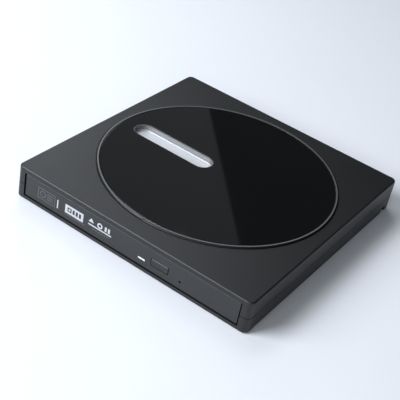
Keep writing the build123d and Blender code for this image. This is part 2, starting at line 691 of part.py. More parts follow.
def guide_shafts():
    shafts = Part()
    for side in (-1, 1):
        shafts += on_traverse(bar_x(SHAFT_START, SHAFT_END, side * SHAFT_OFFSET, SHAFT_Z, SHAFT_RADIUS))
    return shafts


def shaft_holders():
    """Four plastic blocks that hold the ends of the guide shafts on the deck."""
    holders = Part()
    for side in (-1, 1):
        for start in (SHAFT_START, SHAFT_END - HOLDER_LENGTH):
            y = side * SHAFT_OFFSET
            holder = block(start, start + HOLDER_LENGTH, y - 2.1, y + 2.1, PLATE_TOP, SHAFT_Z + 2.1)
            holder -= bar_x(start - 1, start + HOLDER_LENGTH + 1, y, SHAFT_Z, SHAFT_RADIUS)
            holders += on_traverse(holder)
    return holders


def spindle_base():
    plate = post(0, 0, 12.5, PLATE_TOP, 7.0)
    sleeve = post(0, 0, 2.6, 7.0, 9.6)
    return on_traverse(plate + sleeve - post(0, 0, SPINDLE_SHAFT_RADIUS + BEARING_CLEARANCE, 6, 11))


def spindle_coils():
    """Wound stator: nine poles round a ring on the bearing sleeve."""
    poles = 9
    stator = ring(0, 0, 5.5, 2.65, 7.5, 9.3)
    for index in range(poles):
        pole = block(5.0, 10.2, -1.3, 1.3, 7.6, 9.2)
        shoe = block(10.1, 11.0, -2.2, 2.2, 7.8, 9.0)
        stator += Rot(0, 0, index * 360 / poles) * (pole + shoe)
    return on_traverse(stator)


def turntable():
    """Rotor cup, disc table and centring hub, turning as one."""
    body = post(0, 0, TABLE_RADIUS, TABLE_LOW, TABLE_TOP)
    body += ring(0, 0, CUP_OUTER, CUP_INNER, CUP_LOW, TABLE_LOW + 0.1)
    hub = post(0, 0, HUB_RADIUS, TABLE_TOP - 0.1, HUB_TOP)
    hub = fillet(hub.edges().group_by(Axis.Z)[-1], 0.9)
    body += hub
    body -= ring(0, 0, 14.2, 12.4, TABLE_TOP - 0.3, TABLE_TOP + 0.01)
    body -= post(0, 0, SPINDLE_SHAFT_RADIUS, TABLE_LOW - 1, 12.0)
    for index in range(CLAW_COUNT):
        body -= claw_frame(index) * claw_window()
    return Pos(SPINDLE_X, SPINDLE_Y, 0) * body


def claw_frame(index):
    return Rot(0, 0, 90 + index * 360 / CLAW_COUNT)


def claw_window():
    """Pocket of one claw, open at the hub's side."""
    inner = HUB_RADIUS - CLAW_LENGTH - 0.8
    return block(inner, HUB_RADIUS + 1, -CLAW_WIDTH / 2 - CLAW_GAP, CLAW_WIDTH / 2 + CLAW_GAP,
                 CLAW_LOW - CLAW_GAP, HUB_TOP + 1)


def hub_claw(index):
    """Sprung claw that holds a disc on the hub: its nose stands a little proud of the hub."""
    outer = HUB_RADIUS + CLAW_PROUD
    body = block(outer - CLAW_LENGTH, outer, -CLAW_WIDTH / 2, CLAW_WIDTH / 2, CLAW_LOW, CLAW_HIGH)
    nose = body.edges().filter_by(Axis.Y).group_by(Axis.X)[-1]
    body = chamfer(nose, 0.3)
    return Pos(SPINDLE_X, SPINDLE_Y, 0) * claw_frame(index) * body


def rotor_magnet():
    return Pos(SPINDLE_X, SPINDLE_Y, 0) * ring(0, 0, CUP_INNER, 11.5, CUP_LOW + 0.2, TABLE_LOW)


def spindle_shaft():
    return post(SPINDLE_X, SPINDLE_Y, SPINDLE_SHAFT_RADIUS, 5.8, 12.0)


def turntable_pad():
    return Pos(SPINDLE_X, SPINDLE_Y, 0) * ring(0, 0, 14.2, 12.4, TABLE_TOP - 0.3, TABLE_TOP + 0.05)


# ---- pickup ----
def sled_motor():
    y, z = LEAD_SCREW_OFFSET, LEAD_SCREW_Z
    body = bar_x(SLED_MOTOR_BACK, SLED_MOTOR_FRONT, y, z, SLED_MOTOR_RADIUS)
    body += bar_x(SLED_MOTOR_FRONT - 0.1, -0.2, y, z, 1.6)
    body -= bar_x(-8, 1, y, z, 0.62)
    stand = block(LEAD_SCREW_END + 0.3, LEAD_SCREW_END + 2.3, y - 2, y + 2, PLATE_TOP, z + 2)
    stand -= bar_x(LEAD_SCREW_END - 1, LEAD_SCREW_END + 4, y, z, 0.62)
    return on_traverse(body + stand)


def lead_screw():
    y, z = LEAD_SCREW_OFFSET, LEAD_SCREW_Z
    body = bar_x(0.4, LEAD_SCREW_END, y, z, LEAD_SCREW_RADIUS)
    body += bar_x(-5, 0.5, y, z, 0.6)
    body += bar_x(LEAD_SCREW_END - 0.1, LEAD_SCREW_END + 2, y, z, 0.6)
    return on_traverse(body)


def pickup_sled():
    back, front = LENS_START - 9.5, LENS_START + 6.0
    body = rounded_plate(back, front, -SLED_HALF, SLED_HALF, SLED_LOW, SLED_TOP, 2)
    for side in (-1, 1):
        y = side * 14.4
        body += block(LENS_START - 12, LENS_START - 7, y - 3.5, y + 3.5, SLED_LOW, SLED_TOP)
    for side in (-1, 1):
        y = side * SHAFT_OFFSET
        body += block(LENS_START - 16, LENS_START - 7, y - 2.4, y + 2.4, SLED_LOW, SLED_TOP)
        body -= bar_x(LENS_START - 17, LENS_START - 6, y, SHAFT_Z, SHAFT_RADIUS + 0.04)
    body -= block(LENS_START - 4.2, LENS_START + 4.2, -7.5, 7.5, SLED_LOW + 1.7, SLED_TOP + 1)
    body -= post(0, 0, 13.7, SLED_LOW - 1, SLED_TOP + 1)
    return on_traverse(body)


def sled_nut():
    y, z = LEAD_SCREW_OFFSET, LEAD_SCREW_Z
    body = block(LENS_START - 16, LENS_START - 12.5, y - 2, -(SHAFT_OFFSET + 2.4), PLATE_TOP + 0.3, z + 2)
    return on_traverse(body - bar_x(0, LENS_START, y, z, LEAD_SCREW_RADIUS + 0.08))


def lens_magnets():
    """Two magnets of the focus motor, one at each side of the lens holder."""
    magnets = Part()
    for side in (-1, 1):
        y = side * 6.3
        magnets += on_traverse(block(LENS_START - 3.5, LENS_START + 3.5, y - 0.9, y + 0.9,
                                     SLED_LOW + 1.7, SLED_TOP + 0.2))
    return magnets


def lens_holder():
    body = block(LENS_START - 3.2, LENS_START + 3.2, -4.8, 4.8, SLED_TOP - 0.6, SLED_TOP + 0.7)
    body += post(LENS_START, 0, 2.8, SLED_TOP + 0.6, SLED_TOP + 1.0)
    body -= post(LENS_START, 0, 1.9, SLED_TOP - 1, SLED_TOP + 2)
    return on_traverse(body)


def lens():
    """Small glass lens with a domed top, seated in its holder."""
    body = post(LENS_START, 0, 1.9, SLED_TOP, SLED_TOP + 1.15)
    body = fillet(body.edges().group_by(Axis.Z)[-1], 0.7)
    return on_traverse(body)


# ---- latch and emergency eject ----
def emergency_slider():
    """Bar behind the pin hole, with the finger that pushes the latch lever."""
    bar = block(PIN_HOLE_X - 0.8, PIN_HOLE_X + 0.8, TRAY_FRONT + 0.3, -51.4, 6.3, 7.7)
    finger = block(PIN_HOLE_X - 0.8, 35.2, -53.4, -51.4, LATCH_LOW, 7.7)
    return bar + finger


def latch_lever():
    px, py = LATCH_PIVOT
    arm = block(px - 1.5, px + 1.5, -60.6, py + 1.5, LATCH_LOW, LATCH_HIGH)
    nose = block(px - 1.5, 54.2, -60.6, -59.2, LATCH_LOW, LATCH_HIGH)
    side_arm = block(34.0, px, -51.1, -49.1, LATCH_LOW, LATCH_HIGH)
    eye = post(px, py, 2.2, LATCH_LOW, LATCH_HIGH)
    return arm + nose + side_arm + eye - post(px, py, LATCH_PIN_RADIUS + LATCH_CLEARANCE, 4, 7)


def latch_pivot():
    px, py = LATCH_PIVOT
    return post(px, py, LATCH_PIN_RADIUS, 4.3, DECK_LOW) + post(px, py, 1.6, 4.1, 4.4)


def latch_spring():
    px, py = LATCH_PIVOT
    return Pos(px, py, LATCH_HIGH + 0.2) * coil(1.4, 0.17, 0.6, 4)


def latch_solenoid():
    """Coil body with a steel frame, bored for its plunger."""
    body = block(36, 46, -66, -55.5, COVER_HIGH + 0.3, DECK_LOW)
    body -= block(37, 45, -67, -54, COVER_HIGH + 1.3, DECK_LOW - 1)
    body += bar_x(36.9, 45.1, -58.5, 7.0, 2.5)
    return body - bar_x(38.5, 47, -58.5, 7.0, 0.95)


def solenoid_plunger():
    rod = bar_x(40.2, 49.0, -58.5, 7.0, 0.9)
    return rod + post(49.0, -58.5, 0.6, LATCH_HIGH + 0.1, 7.9)


PARTS = {
    "top_cover": top_cover,
    "bottom_cover": bottom_cover,
    "gloss_disc": gloss_disc,
    "window_plate": window_plate,
    "rubber_feet": rubber_feet,
    "case_screws": case_screws,
    "bridge_board": bridge_board,
    "bridge_chips": bridge_chips,
    "bridge_screws": bridge_screws,
    "bridge_connector": bridge_connector,
    "usb_socket": usb_socket,
    "power_socket": power_socket,
    "drive_base": drive_base,
    "drive_lid": drive_lid,
    "outer_rails": outer_rails,
    "right_slide_rail": slide_rail,
    "left_slide_rail": lambda: mirrored(slide_rail()),
    "main_board": main_board,
    "main_chips": main_chips,
    "drive_connector": drive_connector,
    "latch_post": latch_post,
    "eject_pusher": eject_pusher,
    "eject_spring": eject_spring,
    "flex_cable": flex_cable,
    "tray": tray,
    "bezel": bezel,
    "light_pipe": light_pipe,
    "eject_button": eject_button,
    "tray_board": tray_board,
    "eject_switch": eject_switch,
    "status_led": status_led,
    "tray_cover": tray_cover,
    "tray_screws": tray_screws,
    "traverse_deck": traverse_deck,
    "deck_dampers": deck_dampers,
    "guide_shafts": guide_shafts,
    "shaft_holders": shaft_holders,
    "spindle_base": spindle_base,
    "spindle_coils": spindle_coils,
    "turntable": turntable,
    "rotor_magnet": rotor_magnet,
    "spindle_shaft": spindle_shaft,
    "turntable_pad": turntable_pad,
    "hub_claw_1": lambda: hub_claw(0),
    "hub_claw_2": lambda: hub_claw(1),
    "hub_claw_3": lambda: hub_claw(2),
    "sled_motor": sled_motor,
    "lead_screw": lead_screw,
    "pickup_sled": pickup_sled,
    "sled_nut": sled_nut,
    "lens_magnets": lens_magnets,
    "lens_holder": lens_holder,
    "lens": lens,
    "emergency_slider": emergency_slider,
    "latch_lever": latch_lever,
    "latch_pivot": latch_pivot,
    "latch_spring": latch_spring,
    "latch_solenoid": latch_solenoid,
    "solenoid_plunger": solenoid_plunger,
}

for node, make in PARTS.items():
    export_step(make(), f"parts/{node}.step")
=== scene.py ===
import json
from math import cos, pi, radians, sin

import bmesh
import bpy
from mathutils import Matrix, Vector


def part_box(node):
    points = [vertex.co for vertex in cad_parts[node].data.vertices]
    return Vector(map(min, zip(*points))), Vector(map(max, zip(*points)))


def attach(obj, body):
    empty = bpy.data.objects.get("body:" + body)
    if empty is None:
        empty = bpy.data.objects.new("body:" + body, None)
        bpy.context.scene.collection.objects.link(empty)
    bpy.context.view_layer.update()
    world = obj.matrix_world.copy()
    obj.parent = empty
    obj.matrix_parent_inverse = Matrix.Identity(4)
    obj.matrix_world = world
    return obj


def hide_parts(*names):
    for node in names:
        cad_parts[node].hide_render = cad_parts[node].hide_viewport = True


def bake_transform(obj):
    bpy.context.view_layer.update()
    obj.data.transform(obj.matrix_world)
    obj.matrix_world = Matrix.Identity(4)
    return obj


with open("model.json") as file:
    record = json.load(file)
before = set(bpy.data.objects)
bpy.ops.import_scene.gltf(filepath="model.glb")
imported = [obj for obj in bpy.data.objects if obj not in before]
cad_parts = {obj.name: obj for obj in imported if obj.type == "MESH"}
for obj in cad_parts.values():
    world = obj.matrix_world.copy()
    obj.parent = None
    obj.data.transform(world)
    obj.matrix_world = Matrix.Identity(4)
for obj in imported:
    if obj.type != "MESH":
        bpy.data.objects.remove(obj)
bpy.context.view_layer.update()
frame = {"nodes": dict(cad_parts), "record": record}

# External optical drive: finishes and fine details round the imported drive.
# Lengths are in metres; MM turns millimetres into metres.

MM = 0.001
NODES = frame["nodes"]
SCENE = bpy.context.scene


# ---- camera, lights and floor ----
CAMERA_PLACE = (0.1993, -0.3748, 0.2956)
CAMERA_AZIMUTH = 28.75
CAMERA_DROP = 34.93
CAMERA_ROLL = 12.04
CAMERA_LENS = 88.66
CAMERA_SENSOR = 36.0


def place_camera():
    data = bpy.data.cameras.new("camera")
    data.lens = CAMERA_LENS
    data.sensor_width = CAMERA_SENSOR
    camera = bpy.data.objects.new("camera", data)
    SCENE.collection.objects.link(camera)
    camera.location = CAMERA_PLACE
    turn = Matrix.Rotation(radians(CAMERA_AZIMUTH), 3, "Z")
    tilt = Matrix.Rotation(radians(90 - CAMERA_DROP), 3, "X")
    roll = Matrix.Rotation(radians(CAMERA_ROLL), 3, "Z")
    camera.rotation_euler = (turn @ tilt @ roll).to_euler()
    SCENE.camera = camera


COOL = (0.88, 0.93, 1.0)
ROOM_LIGHT = 0.05
SOFT_BOXES = (
    # name, place, width, height, radiance
    ("front_left_light", (-0.70, -0.90, 0.80), 0.8, 0.8, 14.0),
    ("front_light", (0.10, -1.30, 0.90), 0.6, 0.6, 4.4),
    ("front_right_light", (0.90, -1.10, 0.70), 0.6, 0.6, 3.1),
    ("left_strip", (-0.79, 0.70, 0.47), 0.22, 0.24, 6.4),
    ("near_strip", (-0.35, 0.18, 0.55), 0.6, 0.2, 3.4),
)
# ends of the panel's long side that the gloss disc mirrors
REFLECTED_EDGE = ((-0.5409, 0.9370, 0.6), (-0.2841, 0.6526, 0.6))
CARD_LENGTH = 1.2
CARD_DEPTH = 0.5
CARD_LIGHT = 0.205
FLOOR_HALF = 3.0


def area_light(name, width, height, radiance):
    """Rectangular studio light of a given brightness."""
    data = bpy.data.lights.new(name, "AREA")
    data.shape = "RECTANGLE"
    data.size = width
    data.size_y = height
    data.energy = radiance * width * height * pi
    data.color = COOL
    lamp = bpy.data.objects.new(name, data)
    SCENE.collection.objects.link(lamp)
    return lamp


def soft_box(name, place, width, height, radiance):
    """Light aimed at the drive."""
    lamp = area_light(name, width, height, radiance)
    lamp.location = place
    lamp.rotation_euler = (-Vector(place)).to_track_quat("-Z", "Y").to_euler()


def dim_card():
    """Faint overhead panel whose straight edge shows in the gloss disc."""
    start, end = (Vector(p) for p in REFLECTED_EDGE)
    along = (end - start).normalized()
    outward = Vector((along.y, -along.x, 0.0))
    lamp = area_light("dim_card", CARD_LENGTH, CARD_DEPTH, CARD_LIGHT)
    lamp.location = (start + end) / 2 + outward * (CARD_DEPTH / 2)
    axes = Matrix((along, Vector((0, 0, 1)).cross(along), (0, 0, 1))).transposed()
    lamp.rotation_euler = axes.to_euler()


def light_studio():
    world = bpy.data.worlds.new("studio")
    world.use_nodes = True
    background = world.node_tree.nodes["Background"]
    background.inputs["Color"].default_value = (*COOL, 1.0)
    background.inputs["Strength"].default_value = ROOM_LIGHT
    SCENE.world = world
    SCENE.view_settings.view_transform = "Standard"
    dim_card()
    for light in SOFT_BOXES:
        soft_box(*light)


def lay_floor():
    bm = bmesh.new()
    bmesh.ops.create_grid(bm, x_segments=1, y_segments=1, size=FLOOR_HALF)
    floor = new_object("floor", bm)
    floor.data.materials.append(floor_finish())


def new_object(name, bm):
    mesh = bpy.data.meshes.new(name)
    bm.to_mesh(mesh)
    bm.free()
    piece = bpy.data.objects.new(name, mesh)
    SCENE.collection.objects.link(piece)
    return piece


# ---- shader building ----
class Value:
    """A socket that can be added, multiplied and so on as if it were a number."""

    def __init__(self, finish, socket):
        self.finish = finish
        self.socket = socket

    def __add__(self, other):
        return self.finish.maths("ADD", self, other)

    __radd__ = __add__

    def __sub__(self, other):
        return self.finish.maths("SUBTRACT", self, other)

    def __rsub__(self, other):
        return self.finish.maths("SUBTRACT", other, self)

    def __mul__(self, other):
        return self.finish.maths("MULTIPLY", self, other)

    __rmul__ = __mul__


class Finish:
    """A material while it is being built round one Principled shader."""

    def __init__(self, name, **constants):
        self.material = bpy.data.materials.new(name)
        self.material.use_nodes = True
        self.tree = self.material.node_tree
        self.tree.nodes.clear()
        output = self.tree.nodes.new("ShaderNodeOutputMaterial")
        self.shader = self.tree.nodes.new("ShaderNodeBsdfPrincipled")
        self.tree.links.new(self.shader.outputs[0], output.inputs["Surface"])
        self.place = self.node("ShaderNodeTexCoord", output="Object")
        for socket, value in constants.items():
            self.put(socket.replace("_", " "), value)

    def node(self, kind, settings=None, output=0, **inputs):
        """Adds a node: its settings first, then what its sockets hold or are linked to.

        A socket is given by its name, or as i and its number where names repeat.
        """
        made = self.tree.nodes.new(kind)
        for name, value in (settings or {}).items():
            setattr(made, name, value)
        for name, value in inputs.items():
            numbered = name[0] == "i" and name[1:].isdigit()
            key = int(name[1:]) if numbered else name.replace("_", " ")
            self.connect(made.inputs[key], value)
        return Value(self, made.outputs[output])

    def connect(self, socket, value):
        if isinstance(value, Value):
            self.tree.links.new(value.socket, socket)
        elif socket.type == "RGBA" and len(value) == 3:
            socket.default_value = (*value, 1.0)
        else:
            socket.default_value = value

    def put(self, socket, value):
        """Sets or links one of the shader's sockets."""
        self.connect(self.shader.inputs[socket], value)

    def maths(self, operation, first, second=0.0):
        return self.node("ShaderNodeMath", {"operation": operation}, i0=first, i1=second)

    def smooth(self, value, low, high, at_low=0.0, at_high=1.0):
        """Value carried smoothly from one range to another."""
        return self.node("ShaderNodeMapRange", {"interpolation_type": "SMOOTHSTEP"},
                         Value=value, From_Min=low, From_Max=high, To_Min=at_low, To_Max=at_high)

    def band(self, value, low, high, fade):
        """1 between two figures and 0 outside, fading over a width on each side."""
        return self.smooth(value, low - fade, low) * self.smooth(value, high, high + fade, 1.0, 0.0)

    def stretch(self, scale, turn=0.0):
        """Object coordinates scaled per axis, after a turn about Z."""
        return self.node("ShaderNodeMapping", Vector=self.place, Scale=scale,
                         Rotation=(0.0, 0.0, turn))

    def noise(self, scale, detail=2.0, roughness=0.5, vector=None):
        """Soft noise; scale is in waves per metre."""
        return self.node("ShaderNodeTexNoise", output="Fac", Vector=vector or self.place,
                         Scale=scale, Detail=detail, Roughness=roughness)

    def cells(self, scale, output="Distance"):
        """Random cells; scale is in cells per metre."""
        return self.node("ShaderNodeTexVoronoi", output=output, Vector=self.place, Scale=scale)

    def specks(self, scale, size, share):
        """Small round spots, 1 inside and 0 outside; the share is how many cells have one."""
        near = self.smooth(self.cells(scale), size * 0.6, size, 1.0, 0.0)
        chosen = self.node("ShaderNodeSeparateColor", Color=self.cells(scale, output="Color"))
        return near * self.maths("LESS_THAN", chosen, share)

    def waves(self, place, pitch):
        """Ridges 0 to 1 along one coordinate."""
        return 0.5 + 0.5 * self.maths("SINE", place * (2 * pi / pitch))

    def radius(self, x, y):
        """Distance from an upright axis."""
        across = self.axis("X") - x
        deep = self.axis("Y") - y
        return self.maths("SQRT", across * across + deep * deep)

    def mix(self, factor, first, second):
        """Colour between two colours."""
        return self.node("ShaderNodeMix", {"data_type": "RGBA"}, output=2,
                         i0=factor, i6=first, i7=second)

    def axis(self, name):
        """One object coordinate, in metres."""
        return self.node("ShaderNodeSeparateXYZ", output=name, Vector=self.place)

    def bump(self, height, depth):
        """Relief: height 0 to 1 stands for the given depth in metres."""
        self.put("Normal", self.node("ShaderNodeBump", Height=height, Distance=depth, Strength=1.0))


def grey(level, warm=0.0):
    """Near-grey colour; warm above 0 leans to red, below 0 to blue."""
    return (level * (1 + warm), level, level * (1 - warm))


# ---- finishes ----
GRAIN = 2600.0
GRAIN_DEPTH = 0.000012
# where the cover's painted highlight line lies: the centre and radius of the disc rim's crest, the
# line's half width and its fade
RIM_CENTRE = (0.0, 0.0014)
RIM_CREST = 0.0623
CREST_HALF = 0.0001
CREST_FADE = 0.0003
# height of the window's floor, above which the metal wall is painted darker as painted shade
WINDOW_FLOOR = 0.0158
WALL_FADE = 0.0003
WINDOW_RIB_PITCH = 0.0009
TRACK_PITCH = 0.0011
WINDING_INNER = 0.0056
WINDING_OUTER = 0.0100
WINDING_FADE = 0.0001
WIRE_PITCH = 0.00026
THREAD_PITCH = 0.0006


def floor_finish():
    f = Finish("pale_floor", Roughness=0.55, Specular_IOR_Level=0.3)
    cloud = f.noise(3.0, 3.0)
    f.put("Base Color", f.mix(cloud, (0.78, 0.79, 0.81), (0.85, 0.86, 0.88)))
    f.bump(f.noise(900.0, 2.0), 0.00003)
    return f.material


def moulded_black(name, level, gloss, painted_rim_highlight=0.0):
    """Black moulded plastic with a fine spark-eroded grain and a few specks of dust.

    A level above 0 for the rim line is the tone of a painted highlight: a thin light line round the
    crest of the disc's rim, standing in for light caught there.
    """
    f = Finish(name, IOR=1.5)
    patches = f.noise(35.0, 4.0, 0.55)
    speckle = f.noise(GRAIN, 3.0, 0.6)
    dust = f.specks(260.0, 0.035, 0.12)
    plain = f.mix(patches, grey(level * 0.82, -0.02), grey(level * 1.18, -0.03))
    if painted_rim_highlight:
        # painted highlight: a lighter line mixed into the colour round the crest of the disc's rim
        radius = f.radius(*RIM_CENTRE)
        crest = f.band(radius, RIM_CREST - CREST_HALF, RIM_CREST + CREST_HALF, CREST_FADE)
        plain = f.mix(crest, plain, grey(painted_rim_highlight))
    f.put("Base Color", f.mix(0.5 * dust, plain, grey(level * 4.0)))
    f.put("Roughness", gloss + 0.08 * (patches - 0.5) + 0.12 * (speckle - 0.5) + 0.2 * dust)
    f.bump(speckle, GRAIN_DEPTH)
    return f.material


def gloss_finish():
    """Polished black acrylic with faint hairlines, smears and a little dust."""
    f = Finish("gloss_black", IOR=1.49)
    haze = f.noise(18.0, 3.0)
    hairs = f.noise(60.0, 2.0, vector=f.stretch((1.0, 45.0, 1.0), 0.7))
    dust = f.specks(300.0, 0.03, 0.05)
    f.put("Base Color", f.mix(0.4 * dust, f.mix(haze, grey(0.0028), grey(0.0040)), grey(0.03)))
    f.put("Roughness", 0.030 + 0.02 * f.smooth(hairs, 0.62, 0.75) + 0.012 * haze + 0.3 * dust)
    return f.material


def brushed_finish(name, level, rough):
    """Satin aluminium brushed across its short side; the wall round it is ribbed and painted far
    darker, as painted shade.
    """
    f = Finish(name, Metallic=0.6, Specular_IOR_Level=0.5)
    lines = f.noise(1.0, 3.0, 0.65, vector=f.stretch((4500.0, 60.0, 60.0)))
    long_lines = f.noise(1.0, 2.0, 0.5, vector=f.stretch((40.0, 2500.0, 1500.0)))
    clouds = f.noise(90.0, 2.0)
    both = 0.7 * lines + 0.3 * long_lines
    up = f.axis("Z")
    # painted shade: above the window's floor the same metal is given a far darker colour
    wall = f.smooth(up, WINDOW_FLOOR, WINDOW_FLOOR + WALL_FADE)
    ribs = f.maths("POWER", f.waves(up, WINDOW_RIB_PITCH), 0.6)
    plate = f.mix(both, grey(level * 0.80, -0.01), grey(level * 1.10, -0.01))
    f.put("Base Color", f.mix(wall, plate, f.mix(ribs, grey(0.05), grey(0.30, -0.01))))
    f.put("Roughness", rough + 0.18 * (lines - 0.5) + 0.06 * (clouds - 0.5))
    f.bump(both, 0.000010)
    return f.material


def plain_metal(name, shade, rough):
    """Metal with a faint mottle, as plating and casting leave."""
    f = Finish(name, Metallic=1.0)
    spots = f.noise(400.0, 4.0, 0.6)
    dark = tuple(0.78 * c for c in shade)
    f.put("Base Color", f.mix(spots, dark, shade))
    f.put("Roughness", rough + 0.16 * (spots - 0.5))
    f.bump(spots, 0.000006)
    return f.material


def sheet_metal(name, shade, rough):
    """Zinc-plated sheet: faint spangle, rolling lines and stray scratches."""
    f = Finish(name, Metallic=1.0)
    spangle = f.node("ShaderNodeSeparateColor", Color=f.cells(220.0, output="Color"))
    rolled = f.noise(1.0, 3.0, 0.6, vector=f.stretch((2600.0, 45.0, 2600.0)))
    scratch = f.smooth(f.noise(90.0, 2.0, vector=f.stretch((1.0, 30.0, 1.0), 0.5)), 0.66, 0.72)
    dark = tuple(0.80 * c for c in shade)
    f.put("Base Color", f.mix(0.35 * spangle + 0.65 * rolled, dark, shade))
    f.put("Roughness", rough + 0.10 * (spangle - 0.5) + 0.10 * (rolled - 0.5) - 0.08 * scratch)
    f.bump(rolled + 0.6 * scratch, 0.000005)
    return f.material


def board_finish():
    """Green solder mask over copper tracks, with tinned vias."""
    f = Finish("board_green", IOR=1.5, Coat_Weight=0.5, Coat_Roughness=0.15)
    areas = f.smooth(f.noise(75.0, 1.0), 0.49, 0.51)
    across, deep = (f.smooth(f.waves(f.axis(name), TRACK_PITCH), 0.62, 0.74) for name in "XY")
    tracks = across * areas + deep * (1.0 - areas)
    vias = f.specks(330.0, 0.14, 0.30)
    mask = f.mix(f.noise(300.0, 3.0), (0.006, 0.062, 0.022), (0.010, 0.085, 0.032))
    inked = f.mix(0.8 * tracks, mask, (0.018, 0.150, 0.055))
    f.put("Base Color", f.mix(vias, inked, (0.62, 0.60, 0.52)))
    f.put("Metallic", vias)
    f.put("Roughness", 0.36 - 0.08 * tracks + 0.06 * (f.noise(900.0) - 0.5))
    f.bump(tracks + vias, 0.00003)
    return f.material


def winding_finish():
    """Lacquered copper wire on the poles, bare steel at the ring and the shoes."""
    f = Finish("copper", Metallic=1.0)
    low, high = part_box("spindle_shaft")
    radius = f.radius((low[0] + high[0]) / 2, (low[1] + high[1]) / 2)
    wound = f.band(radius, WINDING_INNER, WINDING_OUTER, WINDING_FADE)
    turns = f.waves(radius, WIRE_PITCH)
    # painted shade: the copper is darker between the turns, where the wires meet
    wire = f.mix(turns, (0.30, 0.11, 0.04), (0.80, 0.36, 0.16))
    steel = f.mix(f.noise(700.0), (0.30, 0.30, 0.31), (0.42, 0.42, 0.43))
    f.put("Base Color", f.mix(wound, steel, wire))
    f.put("Roughness", 0.34 - 0.10 * wound * turns)
    f.bump(wound * turns, 0.00006)
    return f.material


def thread_finish():
    """Turned brass with a fine thread along the pickup's way."""
    f = Finish("brass", Metallic=1.0)
    thread = f.waves(cos(pi / 4) * (f.axis("X") + f.axis("Y")), THREAD_PITCH)
    shade = f.mix(f.noise(500.0, 3.0), (0.58, 0.44, 0.19), (0.74, 0.58, 0.27))
    # painted shade: the brass is darker in the thread's grooves
    f.put("Base Color", f.mix(0.5 * thread, (0.36, 0.26, 0.10), shade))
    f.put("Roughness", 0.30 - 0.08 * thread)
    f.bump(thread, 0.00018)
    return f.material


def lens_finish():
    """Glass with a violet coating that shifts to green at its rim."""
    f = Finish("lens_glass", IOR=1.55, Coat_Weight=1.0, Coat_Roughness=0.03)
    bands = f.noise(400.0, 2.0)
    facing = f.node("ShaderNodeLayerWeight", output="Facing", Blend=0.4)
    shade = f.mix(facing, (0.16, 0.08, 0.42), (0.06, 0.22, 0.30))
    f.put("Base Color", f.mix(0.3 * bands, shade, (0.02, 0.02, 0.08)))
    f.put("Roughness", 0.04 + 0.03 * bands)
    return f.material


def plain_plastic(name, shade, rough):
    """Coloured moulded plastic."""
    f = Finish(name, IOR=1.48)
    spots = f.noise(1500.0, 3.0, 0.6)
    dark = tuple(0.86 * c for c in shade)
    f.put("Base Color", f.mix(spots, dark, shade))
    f.put("Roughness", rough + 0.12 * (spots - 0.5))
    f.bump(spots, 0.000008)
    return f.material


FINISHES = {
    # the cover's colour carries a painted highlight line, 0.14, round the disc's rim
    "cover_plastic": moulded_black("cover_plastic", 0.0065, 0.43, painted_rim_highlight=0.14),
    "gloss_black": gloss_finish(),
    "brushed_plate": brushed_finish("brushed_plate", 0.72, 0.42),
    "bezel_plastic": moulded_black("bezel_plastic", 0.015, 0.44),
    "button_plastic": moulded_black("button_plastic", 0.015, 0.42),
    "light_plastic": plain_plastic("light_plastic", (0.80, 0.82, 0.86), 0.2),
    "foot_rubber": plain_plastic("foot_rubber", (0.02, 0.02, 0.02), 0.8),
    "screw_steel": plain_metal("screw_steel", (0.12, 0.12, 0.125), 0.35),
    "board_green": board_finish(),
    "chip_black": plain_plastic("chip_black", (0.02, 0.02, 0.021), 0.6),
    "connector_black": plain_plastic("connector_black", (0.025, 0.025, 0.026), 0.45),
    "plated_steel": sheet_metal("plated_steel", (0.62, 0.62, 0.60), 0.32),
    "polished_steel": plain_metal("polished_steel", (0.75, 0.75, 0.76), 0.12),
    "tray_plastic": moulded_black("tray_plastic", 0.014, 0.46),
    "hub_plastic": plain_plastic("hub_plastic", (0.03, 0.03, 0.032), 0.3),
    "claw_plastic": plain_plastic("claw_plastic", (0.75, 0.75, 0.72), 0.3),
    "copper": winding_finish(),
    "magnet": plain_metal("magnet", (0.12, 0.12, 0.13), 0.45),
    "sled_metal": plain_metal("sled_metal", (0.35, 0.35, 0.37), 0.45),
    "brass": thread_finish(),
    "lens_glass": lens_finish(),
    "flex_film": plain_plastic("flex_film", (0.55, 0.30, 0.08), 0.3),
    "spring_steel": plain_metal("spring_steel", (0.60, 0.60, 0.60), 0.25),
    "white_plastic": plain_plastic("white_plastic", (0.70, 0.70, 0.68), 0.4),
}


def paint_nodes():
    """Gives every carried-over node the finish of its material slot."""
    for subpart in frame["record"]["subparts"]:
        mesh = NODES[subpart["node"]].data
        mesh.materials.clear()
        mesh.materials.append(FINISHES[subpart["material_slot"]])


# ---- fine pieces, in millimetres ----
INK_HEIGHT = 0.02
INK_ROOT = 0.02
RIDGE_HEIGHTS = (7.35, 8.05)
RIDGE_HALF = 4.2
RIDGE_WIDTH = 0.22
RIDGE_PROUD = 0.04
RIDGE_ROOT = 0.05
CONTACT_PITCH = 0.8
CONTACT_HALF_WIDTH = 0.16
CONTACT_INNER = 5.6
CONTACT_OUTER = 1.1
CONTACT_BOTTOM = 2.38
CONTACT_TOP = 2.43
LEG_HALF_WIDTH = 0.13
LEG_PITCH = 0.6
CHIP_Y = 42
CHIP_HALF = 8.0
CHIP_LEGS = 26
CHIP_LEG_REACH = 0.9
CHIP_LEG_HEIGHT = 0.5
BRIDGE_HALF = 4.0
BRIDGE_LEGS = 9
BRIDGE_FIRST_LEG_Y = 63.8
BRIDGE_LEG_REACH = 0.8
BRIDGE_LEG_HEIGHT = 0.45
RIBBON_HALF = 7.0
RIBBON_THICK = 0.12
FOLD_AT = -39.0
FOLD_RADIUS = 0.24
UPPER_LEG_Z = 3.39
UPPER_LEG_LENGTH = 55.0
LIGHT_INK = plain_plastic("light_ink", (0.50, 0.51, 0.53), 0.5)
DIM_INK = plain_plastic("dim_ink", (0.085, 0.086, 0.090), 0.5)
